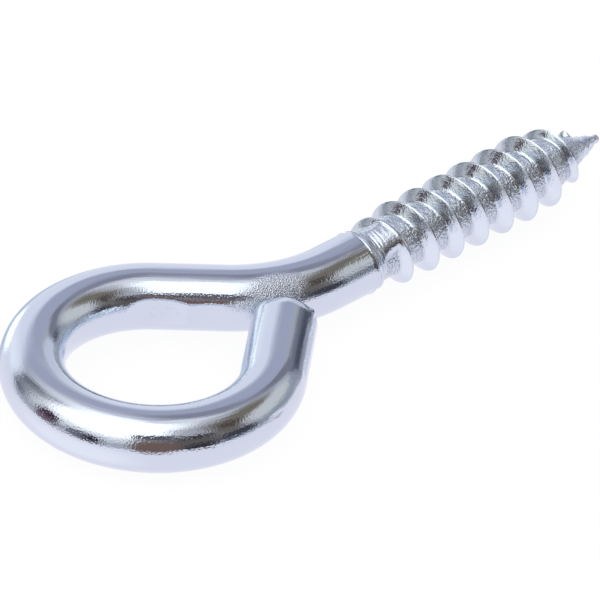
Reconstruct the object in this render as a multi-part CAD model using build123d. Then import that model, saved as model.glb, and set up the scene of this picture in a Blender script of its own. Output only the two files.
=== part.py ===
from build123d import *
import os
from math import acos, atan2, cos, hypot, pi, radians, sin, sqrt, tan

# A screw eye for wood: one length of steel wire. One end is bent round into an eye that
# closes on its own neck, and the other is rolled with a wood-screw thread and a gimlet
# point. Nothing is welded on, so the whole thing is one solid.
#
# Frame, in millimetres: the origin is the centre of the eye, +X runs along the shank to
# the point, and +Z stands square to the plane of the eye.

# ---- The wire and its eye ----
wire_diameter = 5.0
eye_inside_diameter = 12.85
neck_inside_radius = 9.1      # inside the bend that leads the shank into the eye
neck_straight = 5.3           # straight wire between that bend and the round of the eye
closing_angle = 40.5          # slope of the wire's last stretch against the shank
closing_gap = 0.06            # hairline that stays open between the cut end and the neck
cut_edge = 0.25               # the edge of the cut end is broken by this much

# ---- The shank and the body of the thread ----
smooth_shank = 2.85           # from the end of the bend to the first mark of the rolling dies
run_down_length = 1.6         # the shank narrows to the thread's root over this length
root_depth = 0.4              # the dies press the root this far under the wire's surface
thread_length = 20.15         # from the end of the smooth shank to the foot of the point
point_length = 5.85
tip_diameter = 0.4            # the dies pinch the point off to this blunt end
thread_lean = 0.55            # degrees by which the threaded end strays towards +Y

# ---- The ridge of the thread ----
thread_pitch = 2.6
thread_angle = 60.0           # between the two flanks
crest_rise_start = 0.53       # the metal pressed out of the root stands this far above
crest_rise_end = 0.76         # the wire's surface, and a little more towards the point
start_angle = 76.2            # where the ridge leaves the shank, from +Y towards +Z
start_lead = 0.2              # it begins this far back, hidden under the smooth surface
run_in_length = 4.6           # and takes this long to reach its full height
bare_tip = 2.4                # the last stretch of the point has no ridge
sinking_length = 5.4          # towards its end the ridge gets lower over this length
low_height = 0.37             # down to this height
run_out_length = 0.7          # and then drops into the point over this one
hidden_depth = 0.15           # both ends of the crest lie this deep under the surface
foot_depth = 0.35             # the ridge is rooted this deep in the body
places_a_turn = 16            # places in a turn at which its edges are set out

wire_radius = wire_diameter / 2
root_radius = wire_radius - root_depth
flank_slope = tan(radians(thread_angle / 2))

# ---- Where the wire's curves meet ----
# The eye's centre lies on the shank's own line. The neck's bend sits beside that line, and
# a straight stretch touches both curves, which fixes how far from the eye the bend begins.
eye_radius = eye_inside_diameter / 2 + wire_radius
neck_radius = neck_inside_radius + wire_radius
centre_distance = hypot(neck_straight, eye_radius + neck_radius)
neck_x = sqrt(centre_distance ** 2 - neck_radius ** 2)
neck_centre = Vector(neck_x, neck_radius)
eye_start = atan2(neck_radius, neck_x) + acos((eye_radius + neck_radius) / centre_distance)
eye_end = radians(270 + closing_angle)
shank_end = neck_x + smooth_shank


def polar(radius, angle):
    """A point of the eye's plane, seen from the eye's centre."""
    return Vector(radius * cos(angle), radius * sin(angle))


neck_start = Vector(neck_x, 0)
neck_middle = neck_centre + polar(neck_radius, (eye_start + pi / 2) / 2 + pi)
neck_end = neck_centre + polar(neck_radius, eye_start + pi)
eye_first = polar(eye_radius, eye_start)
eye_middle = polar(eye_radius, (eye_start + eye_end) / 2)
eye_last = polar(eye_radius, eye_end)

# The wire's last stretch runs straight on until its cut end closes on the side of the neck.
# What comes closest is the rim of the cut's flat, on the eye's side. It stops where the
# neck's straight stretch, or the bend beyond it, is one clearance away.
closing_way = polar(1, eye_end + pi / 2)
neck_way = polar(1, eye_start - pi / 2)
neck_side = polar(1, eye_start)
stand_off = wire_radius + closing_gap
rim_start = eye_last - polar(wire_radius - cut_edge, eye_end)
to_straight = (eye_radius - stand_off - rim_start.dot(neck_side)) / closing_way.dot(neck_side)
met_at = (rim_start + closing_way * to_straight - eye_first).dot(neck_way)
from_bend = rim_start - neck_centre
towards = from_bend.dot(closing_way)
to_bend = -towards - sqrt(towards ** 2 - from_bend.dot(from_bend) + (neck_radius + stand_off) ** 2)
closing_length = to_straight if met_at < neck_straight else to_bend
cut_end = eye_last + closing_way * closing_length

# ---- The slopes of the body under the ridge ----
tip = thread_length + point_length
run_down_slope = root_depth / run_down_length
point_slope = (root_radius - tip_diameter / 2) / point_length

# ---- The ends of the ridge, measured like the thread from the end of the smooth shank ----
ridge_start = -start_lead
ridge_end = tip - bare_tip
ridge_turns = (ridge_end - ridge_start) / thread_pitch


def body_radius(s):
    """Radius of what carries the ridge, s along the thread: run-down, root and point."""
    shank_or_root = max(root_radius, wire_radius - run_down_slope * max(0, s))
    return shank_or_root - point_slope * max(0, s - thread_length)


def ridge_height(s):
    """Height of the whole ridge above what carries it. Towards the point it sinks."""
    grown = (crest_rise_end - crest_rise_start) * s / thread_length
    whole = root_depth + crest_rise_start + grown
    sunk = max(0, s - ridge_end + sinking_length) / sinking_length
    return whole + (low_height - whole) * sunk


def crest_radius(s):
    """Radius of the crest. It starts and ends a little under the body's surface."""
    risen = sin(pi / 2 * min(1, (s - ridge_start) / run_in_length))
    left = min(1, (ridge_end - s) / run_out_length)
    hidden = body_radius(s) - hidden_depth
    whole = min(root_radius, body_radius(s)) + ridge_height(s)
    return hidden + (whole - hidden) * risen * left


def ridge_point(s, side):
    """A point on one edge of the ridge: its crest, or its foot on the side -1 or 1."""
    foot = body_radius(s) - foot_depth
    height = crest_radius(s) - foot
    radius = crest_radius(s) if side == 0 else foot
    angle = radians(start_angle) + 2 * pi * (s - ridge_start) / thread_pitch
    return Vector(s + side * height * flank_slope, radius * cos(angle), radius * sin(angle))


def ridge_edge(start, end, side):
    """One edge of a turn of the ridge, from start to end along the thread."""
    shares = [place / places_a_turn for place in range(places_a_turn + 1)]
    points = [ridge_point(start + (end - start) * share, side) for share in shares]
    step = (end - start) / 1000
    speeds = []
    for s in (start, end):
        moved = ridge_point(s + step, side) - ridge_point(s - step, side)
        speeds.append(moved * (end - start) / (2 * step))
    return Edge.make_spline(points, tangents=speeds, parameters=shares, scale=False)


def ridge():
    """The ridge: in each turn two flanks that meet in a sharp crest, on a hidden foot."""
    count = round(ridge_turns)
    faces = []
    for turn in range(count):
        start = ridge_start + (ridge_end - ridge_start) * turn / count
        end = ridge_start + (ridge_end - ridge_start) * (turn + 1) / count
        edges = [ridge_edge(start, end, side) for side in (-1, 0, 1)]
        for one, other in zip(edges, edges[1:] + edges[:1]):
            faces.append(Face.make_surface_from_curves(one, other))
        if turn == 0:
            faces.append(Face(Wire.make_polygon([edge.position_at(0) for edge in edges])))
    faces.append(Face(Wire.make_polygon([edge.position_at(1) for edge in edges])))
    return Solid(Shell(faces))


def threaded_body():
    """What carries the ridge: the root's cylinder and the cone of the point."""
    back = -run_down_length
    outline = Polyline(
        (back, 0),
        (back, root_radius),
        (thread_length, root_radius),
        (tip, tip_diameter / 2),
        (tip, 0),
        close=True,
    )
    return revolve(make_face(outline), Axis.X)


def bent_wire():
    """The plain wire, from the end of the smooth shank round the eye to its cut end."""
    bends = [
        Line(Vector(shank_end, 0), neck_start),
        ThreePointArc(neck_start, neck_middle, neck_end),
        Line(neck_end, eye_first),
        ThreePointArc(eye_first, eye_middle, eye_last),
        Line(eye_last, cut_end),
    ]
    section = Plane((shank_end, 0, 0), z_dir=(-1, 0, 0)) * Circle(wire_radius)
    wire = sweep(section, path=Wire([bend.edge() for bend in bends]))
    cut_face = wire.faces().filter_by(GeomType.PLANE).sort_by(Axis.X)[0]
    return chamfer(cut_face.edges(), cut_edge)


def run_down():
    """The cone by which the shank narrows. Its thin end is hidden in the thread's body."""
    thin_end = root_radius - foot_depth
    length = (wire_radius - thin_end) / run_down_slope
    cone = Cone(wire_radius, thin_end, length, align=(Align.CENTER, Align.CENTER, Align.MIN))
    return Plane((shank_end, 0, 0), z_dir=(1, 0, 0)) * cone


thread = Location((shank_end, 0, 0), (0, 0, thread_lean)) * (threaded_body() + ridge())
screw_eye = bent_wire() + run_down() + thread

os.makedirs("parts", exist_ok=True)
export_step(screw_eye.solid(), "parts/screw_eye.step")
print(f"shank narrows at x {shank_end:.3f}, the tip is {tip:.3f} beyond, lean {thread_lean} degrees")
print(f"the closing stretch is {closing_length:.3f} long and ends at {cut_end.X:.3f}, {cut_end.Y:.3f}")
print(f"solids {len(screw_eye.solids())}, faces {len(screw_eye.faces())}, volume {screw_eye.volume:.2f}")
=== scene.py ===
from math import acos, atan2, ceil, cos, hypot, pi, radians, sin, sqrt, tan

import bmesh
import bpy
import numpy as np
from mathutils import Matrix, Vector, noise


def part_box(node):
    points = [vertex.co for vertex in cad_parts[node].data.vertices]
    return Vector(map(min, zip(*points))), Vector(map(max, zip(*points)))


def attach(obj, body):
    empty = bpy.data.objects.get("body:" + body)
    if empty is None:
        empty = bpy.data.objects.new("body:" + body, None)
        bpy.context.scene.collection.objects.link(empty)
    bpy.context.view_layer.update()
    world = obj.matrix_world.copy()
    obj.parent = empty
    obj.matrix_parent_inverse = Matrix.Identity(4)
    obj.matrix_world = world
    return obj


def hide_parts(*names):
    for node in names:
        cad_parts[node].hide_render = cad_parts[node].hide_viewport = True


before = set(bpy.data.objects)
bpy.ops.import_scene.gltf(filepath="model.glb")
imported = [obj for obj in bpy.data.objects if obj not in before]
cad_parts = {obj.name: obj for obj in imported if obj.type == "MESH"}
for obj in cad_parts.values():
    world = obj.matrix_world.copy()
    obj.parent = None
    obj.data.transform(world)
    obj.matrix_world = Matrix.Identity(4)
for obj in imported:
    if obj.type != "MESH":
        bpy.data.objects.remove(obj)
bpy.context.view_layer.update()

# %% [markdown]
# # A screw eye of zinc-plated steel wire
# The real thing is one length of 5 mm wire. One end is rolled between dies, which press a
# wood-screw thread and a gimlet point into it, and the other end is bent round into an eye.
# Then the whole is plated with bright zinc. Lengths below are written in millimetres and
# multiplied by mm, because Blender counts in metres.

mm = 0.001
solid_low, solid_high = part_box("screw_eye")
print("solid, mm:", [round(v / mm, 2) for v in (*solid_low, *solid_high)])

# %% [markdown]
# ## Where the wire runs
# The eye's centre is the origin and the shank runs along +X. The wire is four simple
# stretches: the shank, a bend that leads off its line, the round of the eye, and a last
# straight stretch that closes the eye. Working them out from a few sizes keeps them tangent.

# %% Sizes of the wire
wire_radius = 2.5 * mm
eye_radius = 8.925 * mm          # to the middle of the wire
neck_radius = 11.6 * mm
neck_straight = 5.3 * mm
smooth_shank = 2.85 * mm
closing_slope = radians(40.5)
closing_length = 7.434 * mm
cut_edge = 0.4 * mm

centre_distance = hypot(neck_straight, eye_radius + neck_radius)
neck_x = sqrt(centre_distance**2 - neck_radius**2)
eye_start = atan2(neck_radius, neck_x) + acos((eye_radius + neck_radius) / centre_distance)
eye_end = radians(270) + closing_slope
shank_end = neck_x + smooth_shank
neck_way = Vector((-sin(eye_start), cos(eye_start), 0))
closing_way = Vector((-sin(eye_end), cos(eye_end), 0))
print(f"eye from {eye_start * 180 / pi:.1f} to {eye_end * 180 / pi:.1f} degrees")
print(f"thread begins at {shank_end / mm:.3f} mm")

# %% [markdown]
# ## Small helpers
# A modelling step acts on whatever is selected, so each new piece starts from a clean
# selection. Rings of points are then pulled along step by step, as by hand.

# %% Start a piece and pull its open ring along
def begin(name):
    """The primitive just added becomes a piece of its own, open for editing."""
    piece = bpy.context.object
    piece.name = piece.data.name = name
    bpy.ops.object.transform_apply(location=True, rotation=True, scale=True)
    bpy.ops.object.mode_set(mode="EDIT")
    return piece


def pull(way, length, step):
    """The selected ring is extruded along way, in even steps of about this size."""
    count = max(1, ceil(length / step - 1e-6))
    for _ in range(count):
        bpy.ops.mesh.extrude_region_move(
            TRANSFORM_OT_translate={"value": way * (length / count)}
        )


def bend(centre, angle, radius, step):
    """The selected ring is spun about centre, in the eye's plane, in even steps."""
    bpy.ops.mesh.spin(
        steps=ceil(abs(angle) * radius / step), angle=-angle, center=centre, axis=(0, 0, 1)
    )


def points_of(piece):
    """The places of a piece's points, as one array."""
    places = np.empty(len(piece.data.vertices) * 3)
    piece.data.vertices.foreach_get("co", places)
    return places.reshape(-1, 3)


bpy.ops.object.select_all(action="DESELECT")
print("nothing is selected, ready for the first piece")

# %% [markdown]
# ## The bent wire
# Wire is bent cold round a former, so it keeps its round section. The nearest thing in
# Blender is to take one ring of points and spin it: the ring is the wire's section, the
# centre of each spin is the former. A curve with a bevel would do as well, but spinning
# leaves an even net of faces, which later takes the small dents of the real wire.

# %% Spin the wire from the shank to its cut end
ring_points = 96
ring_step = 0.2 * mm
collar_length = 0.24 * mm        # a little of the thread is made with the wire, see below
collar_step = 0.04 * mm
lip_length = 0.12 * mm
bpy.ops.mesh.primitive_circle_add(
    vertices=ring_points,
    radius=wire_radius,
    location=(shank_end + collar_length, 0, 0),
    rotation=(0, pi / 2, 0),
)
wire = begin("screw_eye_detailed")
bpy.ops.mesh.select_all(action="SELECT")
back_along_shank = Vector((-1, 0, 0))
pull(back_along_shank, collar_length + lip_length, collar_step)
pull(back_along_shank, smooth_shank - lip_length, ring_step)
bend((neck_x, neck_radius, 0), eye_start - pi / 2, neck_radius, ring_step)
pull(neck_way, neck_straight, ring_step)
bend((0, 0, 0), eye_end - eye_start, eye_radius, ring_step)
pull(closing_way, closing_length - cut_edge, ring_step)
bpy.ops.object.mode_set(mode="OBJECT")
print("wire points:", len(wire.data.vertices))

# %% [markdown]
# ## The cut end
# The wire is sheared off, and the tumbling before plating takes the sharpness off the rim.
# The open ring is pulled once more and drawn in, closed with a face, and that face inset so
# that it has points of its own.

# %% Close the cut end
tube_count = len(wire.data.vertices)
face_rings, face_ring = 4, 0.45 * mm
eye_last = Vector((cos(eye_end), sin(eye_end), 0)) * eye_radius
cut_centre = eye_last + closing_way * closing_length
bpy.ops.object.mode_set(mode="EDIT")
reach = rim = 0
for angle in (20, 40, 60, 80):           # the rim is a quarter round
    further, smaller = sin(radians(angle)), 1 - cos(radians(angle))
    step = closing_way * (cut_edge * (further - reach))
    bpy.ops.mesh.extrude_region_move(TRANSFORM_OT_translate={"value": step})
    drawn_in = (wire_radius - cut_edge * smaller) / (wire_radius - cut_edge * rim)
    bpy.ops.transform.resize(value=(drawn_in,) * 3, center_override=cut_centre)
    reach, rim = further, smaller
bpy.ops.mesh.edge_face_add()
for _ in range(face_rings):
    bpy.ops.mesh.inset(thickness=face_ring)
bpy.ops.mesh.poke()
bpy.ops.object.mode_set(mode="OBJECT")
print("cut end adds", len(wire.data.vertices) - tube_count, "points")

# %% [markdown]
# ## The thread, first as plain turns
# The dies press a groove into the wire and the metal between comes up as a ridge. A net of
# faces that follows the turns carries such a ridge cleanly, where a net of straight rings
# would cut its crest into steps. So one short line, as long as the pitch, goes round with a
# Screw modifier. Its points lie closer where the crest will be.

# %% Sizes of the thread, measured from the end of the smooth shank
pitch = 2.6 * mm
root_radius = 2.1 * mm
run_down_length = 1.6 * mm
thread_length = 20.15 * mm
point_length = 5.85 * mm
tip = thread_length + point_length - 0.15 * mm
tip_radius = 0.11 * mm
thread_lean = radians(0.55)
flank_slope = tan(radians(30))
ridge_start = -0.2 * mm
ridge_end = tip - 2.66 * mm
start_angle = radians(76.2)
first_crest = ridge_start - pitch * start_angle / (2 * pi) - pitch
print(f"thread and point: {tip / mm:.2f} mm, ridge on {(ridge_end - ridge_start) / mm:.2f} mm")

# %% A line as long as the pitch, its points crowded where the crest will be
rails = 44
turns = 12
even_share = 0.4                 # how much of the spacing stays even
bpy.ops.object.select_all(action="DESELECT")
bpy.ops.mesh.primitive_plane_add(size=pitch, location=(0, root_radius + pitch / 2, 0))
thread = begin("turns")
bpy.ops.mesh.select_all(action="DESELECT")
bpy.ops.object.mode_set(mode="OBJECT")
for point in thread.data.vertices:
    point.select = point.co.y > root_radius + pitch / 2
bpy.ops.object.mode_set(mode="EDIT")
bpy.ops.mesh.delete(type="VERT")
bpy.ops.mesh.select_all(action="SELECT")
bpy.ops.mesh.subdivide(number_cuts=rails - 1)
bpy.ops.object.mode_set(mode="OBJECT")
for point in thread.data.vertices:
    share = 2 * point.co.x / pitch
    crowded = even_share * share + (1 - even_share) * share**3
    point.co.x = pitch / 2 * crowded + first_crest
print("line of", len(thread.data.vertices), "points")

# %% Screw the line into turns
screw = thread.modifiers.new("turns", "SCREW")
screw.axis = "X"
screw.angle = 2 * pi
screw.screw_offset = pitch
screw.iterations = turns
screw.steps = screw.render_steps = ring_points
bpy.ops.object.modifier_apply(modifier="turns")
print("turns:", len(thread.data.vertices), "points")

# %% [markdown]
# ## Trim the turns square
# A screwed line starts and ends askew. Cutting the net with a plane at each end leaves a
# clean round there: one to join to the wire, and one at the very tip.

# %% Cut both ends with a plane and close the tip
bpy.ops.object.mode_set(mode="EDIT")
bpy.ops.mesh.select_all(action="SELECT")
bpy.ops.mesh.remove_doubles(threshold=0.001 * mm)
join_gap = 0.06 * mm
join_at = collar_length + join_gap
tip_rings = 3
for place, outward in ((join_at, -1), (tip, 1)):
    bpy.ops.mesh.select_all(action="SELECT")
    bpy.ops.mesh.bisect(
        plane_co=(place, 0, 0), plane_no=(outward, 0, 0), clear_outer=True, threshold=1e-7
    )
bpy.ops.mesh.edge_face_add()
for _ in range(tip_rings):
    bpy.ops.mesh.inset(thickness=root_radius / (tip_rings + 1))
bpy.ops.mesh.poke()
bpy.ops.object.mode_set(mode="OBJECT")
print("trimmed:", len(thread.data.vertices), "points")

# %% [markdown]
# ## A finer net where the dies first bite
# The first millimetre or two carries the finest marks: narrow rings and the edge of a ramp.
# Halving the faces just there gives these marks their shape, and costs far less than a finer
# net for the whole thread.

# %% Halve the faces of the first stretch
fine_until = 1.7 * mm
for face in thread.data.polygons:
    face.select = face.center.x < fine_until
bpy.ops.object.mode_set(mode="EDIT")
bpy.ops.mesh.select_mode(type="FACE")
bpy.ops.mesh.subdivide(number_cuts=1, quadcorner="INNERVERT")
bpy.ops.object.mode_set(mode="OBJECT")
print("with the finer stretch:", len(thread.data.vertices), "points")

# %% [markdown]
# ## Raise the ridge
# Now every point is moved in or out. What carries the ridge narrows from the wire to the
# thread's root and tapers at the point. The ridge has flanks of 60 degrees, grows out of
# the shank over almost two turns, and sinks again towards the point. A sculpting brush could
# do it, but a ridge worked out from its place along and around stays true all the way.

# %% The body that carries the ridge
def softer(one, other, blend):
    """The larger of two heights, with the corner between them filled a little."""
    gap = one - other
    return (one + other + np.sqrt(gap * gap + blend * blend)) / 2


def swell(s, middle, width):
    """1 at the middle, falling off smoothly on both sides."""
    return np.exp(-(((s - middle) / width) ** 2))


drop_height, drop_back, drop_width = 0.09 * mm, 0.24 * mm, 0.17 * mm
tip_rounding = 0.25 * mm
tip_blunt = 0.06                 # keeps the very tip from closing to nothing


def body_radius(s):
    """Radius of what carries the ridge, s along the thread. A drop of zinc hangs at the tip."""
    narrowed = wire_radius - (wire_radius - root_radius) * np.clip(s / run_down_length, 0, 1)
    taper = (root_radius - tip_radius) / point_length
    cone = narrowed - taper * np.clip(s - thread_length, 0, None)
    drop = drop_height * swell(s, tip - drop_back, drop_width)
    return (cone + drop) * np.sqrt(np.clip((tip - s) / tip_rounding, tip_blunt, 1))


ends = body_radius(np.array((0, run_down_length, thread_length, tip)))
print("body, mm, at the shank, root, point and tip:", (ends / mm).round(2))

# %% Rings where the dies first bite
die_ring_depth, die_ring_spacing = 0.03 * mm, 0.27 * mm
die_rings_until = 1.7 * mm
die_rings_sink = 0.035 * mm
lip_height, lip_width = 0.06 * mm, 0.07 * mm


def marks_of_the_dies(s, angle):
    """Fine, uneven rings that the front edge of the dies leaves behind the smooth shank."""
    wander = 0.2 * np.sin(3 * angle + 1)
    ring = die_ring_depth * np.cos(2 * pi * (s / die_ring_spacing + wander))
    ring *= 0.6 + 0.4 * np.sin(7 * angle + 9 * s / mm)
    lip = lip_height * swell(s, 0, lip_width)
    fading = np.clip(s / (0.1 * mm), 0, 1) * np.clip((die_rings_until - s) / mm, 0, 1)
    return (ring - die_rings_sink) * fading + lip


ring_heights = marks_of_the_dies(np.linspace(0, die_rings_until, 200), 0) / mm
print("the rings stand", ring_heights.min().round(3), "to", ring_heights.max().round(3), "mm")

# %% A ramp where the dies first bite
ramp_angle = 112                 # where the ramp is whole, 90 being the top
ramp_half_width = 32
ramp_begins, ramp_height, ramp_slope = 0.8 * mm, 2.24 * mm, 0.28


def unrolled(s, angle):
    """How far the ramp, which the dies haven't pressed into a groove, stands above the body."""
    turned = np.degrees(angle)
    share = np.clip(1.6 - np.abs(turned - ramp_angle) / ramp_half_width, 0, 1)
    share = share * share * (3 - 2 * share)
    crest_at = ridge_start + pitch * (1 + (angle - start_angle) / (2 * pi))
    begun = np.clip((s / mm - 0.7) / 0.3, 0, 1)
    before_crest = np.clip((crest_at - s) / (0.15 * mm), 0, 1)
    ramp = ramp_height + ramp_slope * (s - ramp_begins)
    return np.clip(ramp - body_radius(s), 0, None) * share * begun * before_crest


ramp_top = unrolled(np.linspace(0, pitch, 50), radians(ramp_angle)).max()
print(f"the ramp stands {ramp_top / mm:.2f} mm above the root")

# %% The crest
ridge_height, ridge_gain, ridge_last = 0.93 * mm, 0.23 * mm, 0.37 * mm
rise_length, sink_length, stop_length = 4.6 * mm, 5.4 * mm, 0.14 * mm
burr_height, burr_back, burr_width = 0.16 * mm, 0.2 * mm, 0.12 * mm
hidden_depth = 0.15 * mm


def crest_radius(s):
    """Radius of the ridge's crest. It is hidden inside the body where there is no ridge."""
    grown = ridge_height + ridge_gain * s / thread_length
    sunk = np.clip((s - ridge_end + sink_length) / sink_length, 0, 1)
    height = grown + (ridge_last - grown) * sunk
    risen = np.sin(pi / 2 * np.clip((s - ridge_start) / rise_length, 0, 1))
    left = np.clip((ridge_end - s) / stop_length, 0, 1)
    burr = burr_height * swell(s, ridge_end - burr_back, burr_width)
    hidden = body_radius(s) - hidden_depth
    whole = np.minimum(root_radius, body_radius(s)) + height + burr
    return hidden + (whole - hidden) * risen * left


def nearest_crest(s, angle):
    """Where the nearest crest passes at this angle, measured along the thread."""
    first = first_crest + pitch * angle / (2 * pi)
    return first + pitch * np.round((s - first) / pitch)


middle = np.array((thread_length / 2,))
print("crest at the middle of the thread, mm:", round(2 * crest_radius(middle)[0] / mm, 2))

# %% The height of each point of the net
crest_rounding, root_rounding = 0.05 * mm, 0.09 * mm
first_turn_at, first_turn_reach = 2.55 * mm, 0.6 * mm
first_turn_radius, first_turn_slant = 2.9 * mm, 0.12 * mm
places = points_of(thread)
s_along = places[:, 0]
angles = np.arctan2(places[:, 2], places[:, 1])
crest_at = nearest_crest(s_along, angles)
aside = np.abs(s_along - crest_at)
crest_unevenness = 0.02 * mm
uneven = crest_unevenness * np.sin(9.7 * crest_at / mm) * np.sin(4.1 * crest_at / mm + 1)
fallen = (np.sqrt(aside**2 + crest_rounding**2) - crest_rounding) / flank_slope
flank = crest_radius(crest_at) + uneven - fallen
body = body_radius(s_along) + marks_of_the_dies(s_along, angles) + unrolled(s_along, angles)
first_turn = np.abs(crest_at - first_turn_at) < first_turn_reach
pressed_flat = first_turn_radius - first_turn_slant * np.sin(angles)
flank = np.where(first_turn, np.minimum(flank, pressed_flat), flank)
radius = softer(body, flank, root_rounding)
print("points on the first turn, whose crest is pressed flat:", np.count_nonzero(first_turn))

# %% Lumps on the point, and then the points are moved out
lumps_from, lump_height = 21 * mm, 0.05 * mm
near_point = np.clip((s_along - lumps_from) / mm, 0, 1) * np.clip((tip - s_along) / mm, 0, 1)
lumps = np.sin(2.4 * s_along / mm + 2 * angles) * np.sin(5.3 * s_along / mm)
radius += lump_height * near_point * lumps
inside = np.hypot(places[:, 1], places[:, 2]) / root_radius      # below 1 on the tip's own face
radius = radius * np.minimum(1, inside)
shaped = np.stack([s_along, radius * np.cos(angles), radius * np.sin(angles)], axis=1)
thread.data.vertices.foreach_set("co", shaped.ravel())
thread.data.update()
print("widest over the crest, mm:", round(2 * radius.max() / mm, 2))

# %% [markdown]
# ## One piece
# The thread strays from the shank's line by half a degree, as on the real one. It is turned
# by that, and its open round is bridged to the wire's, so that the eye is one skin.

# %% Join the thread to the wire
thread.data.transform(
    Matrix.Translation((shank_end, 0, 0)) @ Matrix.Rotation(thread_lean, 4, "Z")
)
bpy.ops.object.select_all(action="DESELECT")
thread.select_set(True)
wire.select_set(True)
bpy.context.view_layer.objects.active = wire
bpy.ops.object.join()
bpy.ops.object.mode_set(mode="EDIT")
bpy.ops.mesh.select_mode(type="EDGE")
bpy.ops.mesh.select_all(action="DESELECT")
bpy.ops.mesh.select_non_manifold()
bpy.ops.mesh.bridge_edge_loops()
print("joined:", len(wire.data.vertices), "points")

# %% Turn the faces outwards and hand the piece over
def enclosed(piece):
    """The volume inside the piece's faces, which is negative while they point inwards."""
    piece.update_from_editmode()
    shape = bmesh.new()
    shape.from_mesh(piece.data)
    volume = shape.calc_volume(signed=True)
    shape.free()
    return volume


bpy.ops.mesh.select_all(action="SELECT")
bpy.ops.mesh.normals_make_consistent(inside=False)
if enclosed(wire) < 0:
    bpy.ops.mesh.flip_normals()
bpy.ops.mesh.select_all(action="DESELECT")
bpy.ops.mesh.select_non_manifold()
bpy.ops.object.mode_set(mode="OBJECT")
sharp_from = radians(35)
bpy.ops.object.shade_smooth_by_angle(angle=sharp_from)
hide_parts("screw_eye")
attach(wire, "root")
print("volume, mm3:", round(enclosed(wire) / mm**3))
print("open edges left:", sum(edge.select for edge in wire.data.edges))
print("triangles:", sum(len(face.vertices) - 2 for face in wire.data.polygons))

# %% [markdown]
# ## The wire, straightened on paper
# The marks and the grain of the wire run along it, also round the eye. They are easiest to
# place on a straight wire. So each point gets its place on the wire as it was before it was
# bent: how far along, how far to the outer side, and how far up.

# %% Where each stretch of the wire begins, measured back from the thread
eye_first = np.array((cos(eye_start), sin(eye_start))) * eye_radius
neck_end = eye_first - np.array(neck_way[:2]) * neck_straight
neck_at = -smooth_shank - neck_radius * (pi / 2 - eye_start)
eye_at = neck_at - neck_straight
closing_at = eye_at - eye_radius * (eye_end - eye_start)
cut_at = closing_at - closing_length
starts = (neck_at, eye_at, closing_at, cut_at)
print("neck, eye, last stretch and cut end at, mm:", [round(at / mm, 2) for at in starts])

# %% Each stretch: how far along, how far outward, and whether the point is on it
slack = 0.001 * mm
cut_slack = 0.02 * mm
angle_slack = 1e-4


def on_shank(points):
    """The shank and the thread, which leans a little."""
    x, y = points[:, 0], points[:, 1]
    back = x - shank_end
    lean = np.where(back > 0, thread_lean, 0)
    along = back * np.cos(lean) + y * np.sin(lean)
    return along, y * np.cos(lean) - back * np.sin(lean), x > neck_x - slack


def on_neck(points):
    """The bend between the shank and the eye."""
    from_former = points[:, :2] - (neck_x, neck_radius)
    turned = -pi / 2 - np.arctan2(from_former[:, 1], from_former[:, 0])
    here = (turned > -angle_slack) & (turned < pi / 2 - eye_start + angle_slack)
    return -smooth_shank - neck_radius * turned, neck_radius - np.hypot(*from_former.T), here


def on_eye(points):
    """The round of the eye."""
    x, y = points[:, 0], points[:, 1]
    around = np.arctan2(y, x) % (2 * pi)
    here = (around > eye_start - angle_slack) & (around < eye_end + angle_slack)
    return eye_at - eye_radius * (around - eye_start), np.hypot(x, y) - eye_radius, here


def on_straight(points, start, start_at, angle, length):
    """A straight stretch that leaves start square to this angle round the eye."""
    after = points[:, :2] - start
    gone = after @ np.array((-sin(angle), cos(angle)))
    here = (gone > -slack) & (gone < length + slack)
    return start_at - gone, after @ np.array((cos(angle), sin(angle))), here


first_point = np.array([(*eye_first, 0.0)])
print("the eye's first point lies at, mm:", (on_eye(first_point)[0] / mm).round(2))

# %% Each point belongs to the stretch whose round it lies on
def straightened(points):
    """The place of each point along, beside and above the wire's line if it were straight."""
    z = points[:, 2]
    nearest = np.full(len(points), 1.0)
    straight = np.zeros((len(points), 3))
    closing_start = np.array(eye_last[:2])
    for along, beside, here in (
        on_shank(points),
        on_neck(points),
        on_straight(points, neck_end, neck_at, eye_start, neck_straight),
        on_eye(points),
        on_straight(points, closing_start, closing_at, eye_end, closing_length + cut_slack),
    ):
        off_axis = np.hypot(beside, z)
        off = np.where(here, np.abs(off_axis - wire_radius), 1.0)
        on_cut_end = (np.abs(along - cut_at) < cut_slack) & (off_axis < wire_radius)
        off[here & on_cut_end] = -1
        better = off < nearest
        nearest[better] = off[better]
        straight[better] = np.stack([along, beside, z], axis=1)[better]
    return straight


places = points_of(wire)
straight = straightened(places)
along, beside, above = straight.T
turn_at = np.degrees(np.arctan2(above, beside)) % 360     # 0 outer side, 90 top, 180 inner
on_wire = along < 0.05 * mm
print("from", (straight.min(0) / mm).round(2), "to", (straight.max(0) / mm).round(2), "mm")

# %% [markdown]
# ## The marks of the tools
# No bent wire is perfectly round. The former has pressed a flat into the wire's inner side
# where the eye begins, and a shallower one beside it on the neck. The shear has drawn out a
# small lip at the cut end, and the surface is slightly wavy throughout. A bright surface
# shows each of these in its reflections, so they belong in the mesh. Each point is moved a
# little along its own normal.

# %% Two shapes of mark
def turned_from(angle):
    """How far round the wire each point lies from this angle, -180 to 180 degrees."""
    return (turn_at - angle + 180) % 360 - 180


def bump_at(middle, length, angle, width):
    """1 at a place along and around the wire, falling smoothly to 0 at its edges."""
    off = ((along - middle) / length) ** 2 + (turned_from(angle) / width) ** 2
    return np.clip(1 - off, 0, None) ** 2 * on_wire


def flat(middle, length, angle, depth):
    """How far a flat of this depth pulls in each point of the round wire."""
    down = depth * np.clip(1 - ((along - middle) / length) ** 2, 0, None)
    facing = np.clip(np.cos(np.radians(turned_from(angle))), 0.3, 1)
    chord = (wire_radius - down) / facing
    return np.minimum(0, chord - wire_radius) * on_wire


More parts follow.
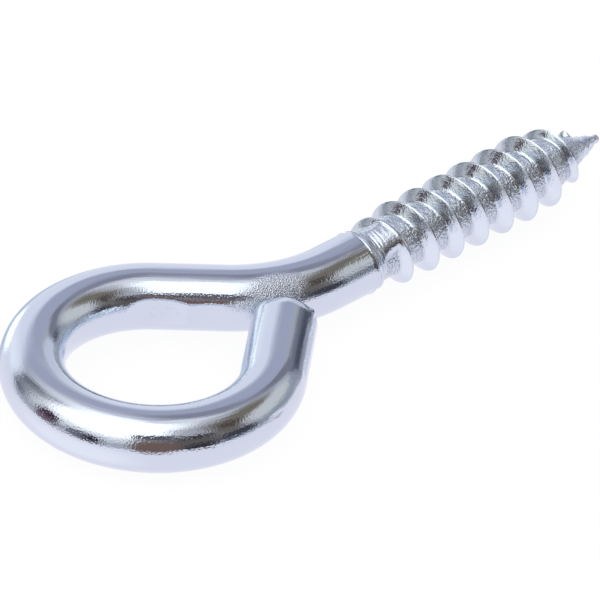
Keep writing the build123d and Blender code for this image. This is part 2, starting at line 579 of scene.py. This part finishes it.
deep_flat = flat(-16.5 * mm, 3.0 * mm, 174.5, 0.26 * mm)
shallow_flat = flat(-12.4 * mm, 2.8 * mm, 176, 0.15 * mm)
print("points on the flats:", np.count_nonzero(deep_flat), np.count_nonzero(shallow_flat))

# %% Press the flats and the dents, draw out the lip
marks = (
    # along, half length, angle, half width, height
    (-64.75, 0.7, 33, 9, 0.14),          # the lip that the shear has drawn out
    (-63.7, 1.6, 29, 10, 0.03),          # the wire swells a little towards it
    (-64.6, 0.8, 110, 22, -0.05),        # a dent at the rim
    (-53.1, 1.0, 20, 8, -0.035),         # a knock on the eye
)
moved = np.minimum(deep_flat, shallow_flat)
for middle, length, angle, width, raised in marks:
    moved += raised * mm * bump_at(middle * mm, length * mm, angle, width)
taper_from, taper_length, taper_depth, taper_angle = -64.15 * mm, 0.9 * mm, 0.17 * mm, 95
tapered = np.clip((taper_from - along) / taper_length, 0, 1)
moved -= taper_depth * tapered * np.clip(1.6 - np.abs(turn_at - taper_angle) / 45, 0, 1)
print("marks:", len(marks), "and two flats and a taper at the cut end")

# %% Add the waviness, and the collar that already belongs to the thread
wave_height = 0.007 * mm
waves = [
    noise.noise(Vector(place) * (0.42 / mm)) + 0.5 * noise.noise(Vector(place) * (1.1 / mm))
    for place in straight * (0.5, 1, 1)
]
moved += wave_height * np.array(waves) * on_wire
collar = (along > -lip_length) & (along < collar_length + slack)
drawn_in = body_radius(along) + marks_of_the_dies(along, np.radians(turn_at)) - wire_radius
moved = np.where(collar, drawn_in, moved)
print("moved by", (moved.min() / mm).round(3), "to", (moved.max() / mm).round(3), "mm")

# %% Move each point along its normal
normals = np.empty(len(places) * 3)
wire.data.vertices.foreach_get("normal", normals)
places += normals.reshape(-1, 3) * moved[:, None]
wire.data.vertices.foreach_set("co", places.ravel())
wire.data.update()
print("points moved:", np.count_nonzero(moved))

# %% [markdown]
# ## What the finish follows
# The finish changes along the wire: drawn and smooth round the eye, rolled and rough in the
# thread's root, pressed smooth but duller on the flanks. Painting these zones by hand would
# blur them. The shapes above say where they are, so each zone is worked out from them and
# written on the points as an attribute, which the material reads.

# %% The root and the crest of the thread, and where the dies first bit
thread_edge, root_edge, crest_edge = 0.15 * mm, 0.14 * mm, 0.12 * mm
cone_from, cone_fade = 22.4 * mm, 0.8 * mm
bitten_until = 2.4 * mm
crest_at = nearest_crest(along, np.radians(turn_at))
ridge_top = crest_radius(crest_at) - np.abs(along - crest_at) / flank_slope
in_thread = np.clip(along / thread_edge, 0, 1)
on_ramp = unrolled(along, np.radians(turn_at)) / (0.1 * mm)

root = np.clip((body_radius(along) - ridge_top) / root_edge - 0.5, 0, 1) * in_thread
root *= 0.15 + 0.85 * np.clip(along / (0.4 * mm) - 2.5 - on_ramp, 0, 1)
root *= 1 - 0.7 * np.clip((along - cone_from) / cone_fade, 0, 1)
below_crest = (crest_radius(crest_at) - ridge_top) / crest_edge
crest = np.clip(1 - below_crest, 0, 1) * in_thread * (1 - root)
rolled = in_thread * (1 - crest)
bitten = in_thread * np.clip((bitten_until - along) / mm, 0, 1)
print("points in the root:", np.count_nonzero(root > 0.5))

# %% The duller flanks: the upper side of those that face the eye, and the inner side of the root
upper_side = np.clip((80 - np.abs(turned_from(75))) / 14, 0, 1)
inner_side = np.clip((turn_at - 125) / 25, 0, 1) * np.clip((205 - turn_at) / 20, 0, 1)
faces_eye = np.clip((crest_at - along) / (0.1 * mm), 0, 1)
dull = rolled * (1 - root) * faces_eye * upper_side * np.clip(1 - on_ramp, 0, 1)
dull += 0.7 * root * inner_side
print("dull points:", np.count_nonzero(dull > 0.5))

# %% The plain wire: gripped and roughened, scored by the dies, smoother along its top
gripped = np.maximum(bump_at(-7.9 * mm, 2.7 * mm, 137, 45), bump_at(-9.9 * mm, 2.0 * mm, 158, 17))
at_cut_end = bump_at(-64.6 * mm, 0.6 * mm, 106, 24)
rough = np.minimum(1, np.maximum(1.6 * gripped, 0.6 * at_cut_end))
scored = bump_at(-0.8 * mm, 2.6 * mm, 100, 75)
grainy = np.where(on_wire, np.clip((np.abs(turned_from(88)) - 18) / 30, 0.2, 1), 1)
print("rough points, where the wire was gripped:", np.count_nonzero(rough > 0.5))

# %% Write the zones on the points
zones = {
    "root": root,
    "rough": rough,
    "rolled": rolled,
    "bitten": bitten,
    "dull": dull,
    "scored": scored,
    "grainy": grainy,
}
for name, values in zones.items():
    layer = wire.data.attributes.new(name, "FLOAT", "POINT")
    layer.data.foreach_set("value", values.astype(np.float32))
layer = wire.data.attributes.new("straight", "FLOAT_VECTOR", "POINT")
layer.data.foreach_set("vector", (straight / mm).astype(np.float32).ravel())
print("attributes written:", ", ".join((*zones, "straight")))

# %% [markdown]
# ## The zinc
# Bright zinc is a thin, slightly blue metal skin, almost a mirror. What tells it from
# chrome is its unevenness: faint lines along the wire from the drawing die, a fine grain
# where it was rolled or gripped, and duller flanks where the dies pressed. One metal
# material makes all of it, so that the finishes run into one another as on a plated piece.
# Each pattern is noise on the straightened wire, and each zone says how deep it goes.

# %% Begin the material
zinc = bpy.data.materials.new("bright_zinc")
zinc.use_nodes = True
nodes, links = zinc.node_tree.nodes, zinc.node_tree.links
shader = nodes["Principled BSDF"]
shader.inputs["Metallic"].default_value = 1
wire.data.materials.append(zinc)


def calc(tree, kind, *values):
    """A Math node of this kind in tree. Each value is a number or another node's output."""
    node = tree.nodes.new("ShaderNodeMath")
    node.operation = kind
    for socket, value in zip(node.inputs, values):
        if isinstance(value, (int, float)):
            socket.default_value = value
        else:
            tree.links.new(value, socket)
    return node.outputs[0]


def zinc_calc(kind, *values):
    """A Math node in the zinc."""
    return calc(zinc.node_tree, kind, *values)


def read(name):
    """An Attribute node for one of the attributes above."""
    node = nodes.new("ShaderNodeAttribute")
    node.attribute_name = name
    return node


here = {name: read(name).outputs["Fac"] for name in zones}
print("the material reads", len(here), "zones")

# %% The patterns
def grain(stretch, scale, detail=2.0, roughness=0.5):
    """Noise on the straightened wire, in millimetres, from -1 to 1."""
    mapping = nodes.new("ShaderNodeMapping")
    mapping.inputs["Scale"].default_value = stretch
    links.new(read("straight").outputs["Vector"], mapping.inputs["Vector"])
    texture = nodes.new("ShaderNodeTexNoise")
    texture.inputs["Scale"].default_value = scale
    texture.inputs["Detail"].default_value = detail
    texture.inputs["Roughness"].default_value = roughness
    links.new(mapping.outputs[0], texture.inputs["Vector"])
    return zinc_calc("MULTIPLY_ADD", texture.outputs["Fac"], 2.0, -1.0)


drawn = grain((0.04, 1, 1), 5.0)                 # lines along the wire
turned = grain((1, 0.12, 0.12), 6.0)             # lines around the thread
peel = zinc_calc("MULTIPLY", grain((1, 1, 1), 7.5, 1.0), here["grainy"])
speckle = grain((1, 1, 1), 11.0, 1.0)
flecks = grain((1, 0.8, 0.8), 4.6, 2.0, 0.55)
wavy = grain((1, 1, 1), 1.6, 1.0)
print("six patterns of noise")

# %% How deep each pattern goes
everywhere = None
relief = (
    # pattern, zone, depth in mm
    (drawn, everywhere, 0.004),
    (drawn, "scored", 0.012),
    (peel, everywhere, 0.0065),
    (speckle, "rough", 0.036),
    (flecks, "root", 0.085),
    (turned, "root", 0.02),
    (turned, "bitten", 0.02),
    (turned, "rolled", 0.006),
    (wavy, "rolled", 0.011),
)
height = 0.0
for pattern, zone, depth in relief:
    shown = pattern if zone is everywhere else zinc_calc("MULTIPLY", pattern, here[zone])
    height = zinc_calc("MULTIPLY_ADD", shown, depth, height)
bump = nodes.new("ShaderNodeBump")
bump.inputs["Distance"].default_value = mm
links.new(height, bump.inputs["Height"])
links.new(bump.outputs[0], shader.inputs["Normal"])
print("layers of relief:", len(relief))

# %% How sharply each zone mirrors
duller_zones = {"rough": 0.06, "root": 0.03, "rolled": 0.03, "bitten": 0.07, "dull": 0.07}
roughness = 0.06
for zone, more in duller_zones.items():
    roughness = zinc_calc("MULTIPLY_ADD", here[zone], more, roughness)
roughness = zinc_calc("MULTIPLY_ADD", peel, 0.02, roughness)
links.new(roughness, shader.inputs["Roughness"])
print("roughness is the sum of", 2 + len(duller_zones), "parts")

# %% The colour, greyer where the dies pressed
bright_colour = (0.67, 0.73, 0.81, 1)
dull_colour = (0.63, 0.70, 0.75, 1)
skin = nodes.new("ShaderNodeMix")
skin.data_type = "RGBA"
skin.inputs[6].default_value = bright_colour
skin.inputs[7].default_value = dull_colour
patchy = zinc_calc("MULTIPLY_ADD", wavy, 0.5, 0.85)
links.new(zinc_calc("MULTIPLY", here["dull"], patchy), skin.inputs["Factor"])
links.new(skin.outputs[2], shader.inputs["Base Color"])
print("nodes in the zinc:", len(nodes))

# %% [markdown]
# ## The studio
# A mirror shows its surroundings, so bright metal is lit with a whole small studio: a white
# table that sweeps up behind, a large soft light overhead, and the dark room beyond the
# table's edge. Lamps and real walls would do, but they would also have to be kept out of
# sight. So the whole studio, with the table as the metal mirrors it, is painted on the world
# by direction, one panel over another. Its tones belong to this one studio, not to the metal.
# A panel is a rounded rectangle with a soft edge, made once as a node group.

# %% The panel's sockets
panel = bpy.data.node_groups.new("panel", "ShaderNodeTree")
panel_sizes = ("Centre", "Height", "Half width", "Half height", "Softness")
for name in ("Azimuth", "Elevation", *panel_sizes):
    panel.interface.new_socket(name, in_out="INPUT", socket_type="NodeSocketFloat")
for name in ("Behind", "Colour"):
    panel.interface.new_socket(name, in_out="INPUT", socket_type="NodeSocketColor")
panel.interface.new_socket("Colour", in_out="OUTPUT", socket_type="NodeSocketColor")
print("sockets of a panel:", [item.name for item in panel.interface.items_tree])

# %% How far a direction lies from the panel's middle, 1 being its edge
roundness = 3.0                  # 2 would be an ellipse, more comes nearer to a rectangle
given = panel.nodes.new("NodeGroupInput").outputs
aside = calc(panel, "SUBTRACT", given["Azimuth"], given["Centre"])
aside = calc(panel, "WRAP", aside, 180.0, -180.0)
aside = calc(panel, "ABSOLUTE", calc(panel, "DIVIDE", aside, given["Half width"]))
upward = calc(panel, "SUBTRACT", given["Elevation"], given["Height"])
upward = calc(panel, "ABSOLUTE", calc(panel, "DIVIDE", upward, given["Half height"]))
reach = calc(
    panel, "ADD", calc(panel, "POWER", aside, roundness), calc(panel, "POWER", upward, roundness)
)
reach = calc(panel, "POWER", reach, 1 / roundness)
print("nodes that measure:", len(panel.nodes))

# %% Lay the panel's colour over what is behind it, with a soft edge
def fade(tree, value, edge, softness):
    """1 well inside the edge and 0 outside it, with a smooth step between."""
    node = tree.nodes.new("ShaderNodeMapRange")
    node.interpolation_type = "SMOOTHSTEP"
    tree.links.new(value, node.inputs["Value"])
    tree.links.new(calc(tree, "SUBTRACT", edge, softness), node.inputs["From Min"])
    tree.links.new(calc(tree, "ADD", edge, softness), node.inputs["From Max"])
    node.inputs["To Min"].default_value = 1
    node.inputs["To Max"].default_value = 0
    return node.outputs[0]


mix = panel.nodes.new("ShaderNodeMix")
mix.data_type = "RGBA"
panel.links.new(fade(panel, reach, 1.0, given["Softness"]), mix.inputs["Factor"])
panel.links.new(given["Behind"], mix.inputs[6])
panel.links.new(given["Colour"], mix.inputs[7])
panel_out = panel.nodes.new("NodeGroupOutput")
panel.links.new(mix.outputs[2], panel_out.inputs["Colour"])
print("nodes in a panel:", len(panel.nodes))

# %% [markdown]
# ## Hang the panels
# Directions are given as on a map: azimuth 0 is the way the shank points, azimuth 90 is the
# side of the neck's bend, and elevation 90 is overhead. The list goes from the far room to
# what stands in front of it, because a later panel covers an earlier one.

# %% The direction of each ray
world = bpy.data.worlds.new("studio")
bpy.context.scene.world = world
world.use_nodes = True
sky = world.node_tree
split = sky.nodes.new("ShaderNodeSeparateXYZ")
sky.links.new(sky.nodes.new("ShaderNodeTexCoord").outputs["Generated"], split.inputs[0])
degrees_each = 180 / pi
around = calc(sky, "ARCTAN2", split.outputs["Y"], split.outputs["X"])
azimuth = calc(sky, "MULTIPLY", around, degrees_each)
elevation = calc(sky, "MULTIPLY", calc(sky, "ARCSINE", split.outputs["Z"]), degrees_each)
print("directions are measured in degrees")

# %% What stands round the table
studio = (
    # azimuth, elevation, half width, half height, softness, colour
    ("room", 0, 90, 400, 400, 0.1, (0.48, 0.49, 0.54)),
    ("ceiling", 0, 90, 400, 42, 0.35, (0.90, 0.90, 0.94)),
    ("ceiling behind", 46, 58, 38, 22, 0.3, (0.60, 0.59, 0.68)),
    ("beam", 20, 56, 31, 18, 0.35, (0.30, 0.30, 0.37)),
    ("wall behind", 46, 42, 37, 14, 0.3, (0.46, 0.47, 0.59)),
    ("wall left", 124, 44, 11, 11, 0.4, (0.42, 0.42, 0.46)),
    ("dark wall left", 114, 24, 13, 22, 0.3, (0.16, 0.165, 0.20)),
    ("wall right", 300, 44, 52, 26, 0.3, (0.50, 0.49, 0.52)),
    ("dark wall right", 311, 47, 36, 12, 0.35, (0.22, 0.19, 0.155)),
    ("dark wall end", 287, 29, 11, 18, 0.4, (0.19, 0.165, 0.145)),
    ("shelf", 294, 40, 11, 9, 0.35, (0.10, 0.08, 0.07)),
    ("dark corner", 4, 10, 8, 13, 0.3, (0.08, 0.09, 0.12)),
    ("corner above", 6, 32, 7, 18, 0.4, (0.24, 0.24, 0.29)),
    ("side reflector", 328, 26, 24, 13, 0.25, (0.71, 0.70, 0.69)),
    ("side floor", 322, 3, 28, 9, 0.3, (0.36, 0.39, 0.44)),
    ("low corner", 353, 9, 6, 9, 0.3, (0.36, 0.37, 0.43)),
    ("far room right", 290, 8, 15, 10, 0.25, (0.06, 0.06, 0.08)),
    ("door", 257, 14, 20, 21, 0.25, (0.14, 0.12, 0.115)),
    ("lintel", 262, 31, 14, 5, 0.35, (0.05, 0.045, 0.045)),
    ("glow", 174, 30, 46, 19, 0.6, (0.95, 0.95, 0.95)),
    ("soft light", 186, 74, 56, 46, 0.2, (1.7, 1.7, 1.7)),
    ("soft light top", 182, 92, 108, 30, 0.3, (1.5, 1.5, 1.5)),
    ("stand", 230, 38, 18, 9, 0.25, (0.13, 0.12, 0.14)),
    ("tripod", 178, 2, 13, 14, 0.14, (0.19, 0.185, 0.22)),
    ("tripod leg", 186, 2, 6, 11, 0.3, (0.035, 0.025, 0.045)),
    ("chair", 149, 5, 9, 17, 0.14, (0.20, 0.145, 0.185)),
    ("chair back", 149, 15, 9, 9, 0.2, (0.07, 0.035, 0.06)),
    ("sweep left", 33, 0, 22, 25, 0.12, (0.68, 0.70, 0.81)),
    ("sweep", 71, 7, 34, 28, 0.2, (0.88, 0.89, 1.0)),
    ("sweep right", 90, 4, 16, 22, 0.5, (1.04, 1.05, 1.12)),
    ("sweep foot", 70, -4, 44, 13, 0.15, (0.90, 0.90, 0.98)),
    ("table", 0, -90, 400, 83, 0.04, (0.95, 0.92, 1.0)),
    ("door foot", 262, 0, 12, 9, 0.35, (0.045, 0.04, 0.05)),
    ("cupboard", 229, 7, 16, 21, 0.2, (0.20, 0.13, 0.11)),
    ("lit table", 165, -46, 48, 28, 0.5, (1.10, 1.07, 1.12)),
    ("shaded table", 6, -7, 12, 6, 0.3, (0.34, 0.34, 0.41)),
    ("shaded sweep", 20, -15, 9, 12, 0.3, (0.28, 0.40, 0.58)),
    ("sweep shade", 65, -21, 13, 13, 0.3, (0.55, 0.65, 0.80)),
    ("sweep glint", 76, -3, 9, 9, 0.35, (1.7, 1.85, 1.7)),
)
print("panels:", len(studio))

# %% Paint them one over another
colour = None
for name, *sizes, tone in studio:
    node = sky.nodes.new("ShaderNodeGroup")
    node.node_tree = panel
    node.name = node.label = name
    sky.links.new(azimuth, node.inputs["Azimuth"])
    sky.links.new(elevation, node.inputs["Elevation"])
    for socket, size in zip(panel_sizes, sizes):
        node.inputs[socket].default_value = size
    node.inputs["Colour"].default_value = (*tone, 1)
    if colour:
        sky.links.new(colour, node.inputs["Behind"])
    colour = node.outputs["Colour"]
mirrored = sky.nodes["Background"]
sky.links.new(colour, mirrored.inputs["Color"])
print("nodes in the sky:", len(sky.nodes))

# %% Only mirrored rays see the studio, the rest see plain white
plain = sky.nodes.new("ShaderNodeBackground")
plain.inputs["Color"].default_value = (1, 1, 1, 1)
path = sky.nodes.new("ShaderNodeLightPath")
shown = calc(sky, "MAXIMUM", path.outputs["Is Glossy Ray"], path.outputs["Is Transmission Ray"])
choose = sky.nodes.new("ShaderNodeMixShader")
sky.links.new(shown, choose.inputs[0])
sky.links.new(plain.outputs[0], choose.inputs[1])
sky.links.new(mirrored.outputs[0], choose.inputs[2])
sky.links.new(choose.outputs[0], sky.nodes["World Output"].inputs["Surface"])
print("the white light has strength", plain.inputs["Strength"].default_value)

# %% [markdown]
# ## The table
# The eye lies flat on the table while the thread, which is a little thicker, props up the
# other end. So the table is laid under both: through the lowest point of the eye, sloping
# by what the crests need. It shines nearly white by itself and reflects a little besides, so
# that it comes out as white as the paper in a light box and still takes a faint shadow. The
# metal doesn't mirror it, because a table is already among the panels.

# %% Lay the table under the eye and the crests
places = points_of(wire)
rest_x = -eye_radius             # the eye rests on its far end
well_ahead, table_size = 5 * mm, 3
ahead_of = places[places[:, 0] > rest_x + well_ahead]
slope = float(np.max((-wire_radius - ahead_of[:, 2]) / (ahead_of[:, 0] - rest_x)))
bpy.ops.object.select_all(action="DESELECT")
bpy.ops.mesh.primitive_plane_add(
    size=table_size,
    location=(0, 0, -wire_radius + slope * rest_x),
    rotation=(0, atan2(slope, 1), 0),
)
table = begin("table")
bpy.ops.object.mode_set(mode="OBJECT")
print(f"the table slopes by {slope * 180 / pi:.2f} degrees")

# %% Its white
table_glow = 0.92
white = bpy.data.materials.new("white_table")
white.use_nodes = True
tree = white.node_tree
matt = tree.nodes["Principled BSDF"]
matt.inputs["Base Color"].default_value = (0.10, 0.10, 0.10, 1)
matt.inputs["Roughness"].default_value = 1
matt.inputs["Specular IOR Level"].default_value = 0
matt.inputs["Emission Color"].default_value = (1, 1, 1, 1)
path = tree.nodes.new("ShaderNodeLightPath")
seen = calc(tree, "MAXIMUM", path.outputs["Is Camera Ray"], path.outputs["Is Glossy Ray"])
seen = calc(tree, "MAXIMUM", seen, path.outputs["Is Transmission Ray"])
tree.links.new(calc(tree, "MULTIPLY", seen, table_glow), matt.inputs["Emission Strength"])
table.data.materials.append(white)
table.visible_glossy = False
print("the table is left out of the mirror, which has its own table among the panels")

# %% [markdown]
# ## The camera
# A small bright part is best seen from some way off with a long lens: the eye and the point
# then keep the same scale, and the camera's own mirror image shrinks to nothing. It looks
# down by about 36 degrees, from the side where the eye closes, so that the cut end, the
# flats and the whole thread are in view. The eye's centre lies left of and below the middle
# of the picture, by the two distances given.

# %% Aim the camera
camera_turn, camera_rise, camera_roll = radians(-44.88), radians(35.54), radians(3.03)
eye_left, eye_below, camera_away = 10.818 * mm, 4.908 * mm, 636.27 * mm
flat_right = Vector((cos(camera_turn), sin(camera_turn), 0))
ahead = Vector((-sin(camera_turn), cos(camera_turn), 0)) * cos(camera_rise)
ahead -= Vector((0, 0, sin(camera_rise)))
flat_up = flat_right.cross(ahead)
right = flat_right * cos(camera_roll) + flat_up * sin(camera_roll)
up = flat_up * cos(camera_roll) - flat_right * sin(camera_roll)
bpy.ops.object.camera_add()
camera = bpy.context.object
bpy.context.scene.camera = camera
camera.matrix_world = Matrix.LocRotScale(
    right * eye_left + up * eye_below - ahead * camera_away,
    Matrix((right, up, -ahead)).transposed(),
    None,
)
camera.data.sensor_width = 36    # these two are in millimetres as they stand
camera.data.lens = 518.56
bpy.context.scene.view_settings.view_transform = "Standard"
print("camera at, mm:", [round(v / mm) for v in camera.matrix_world.translation])
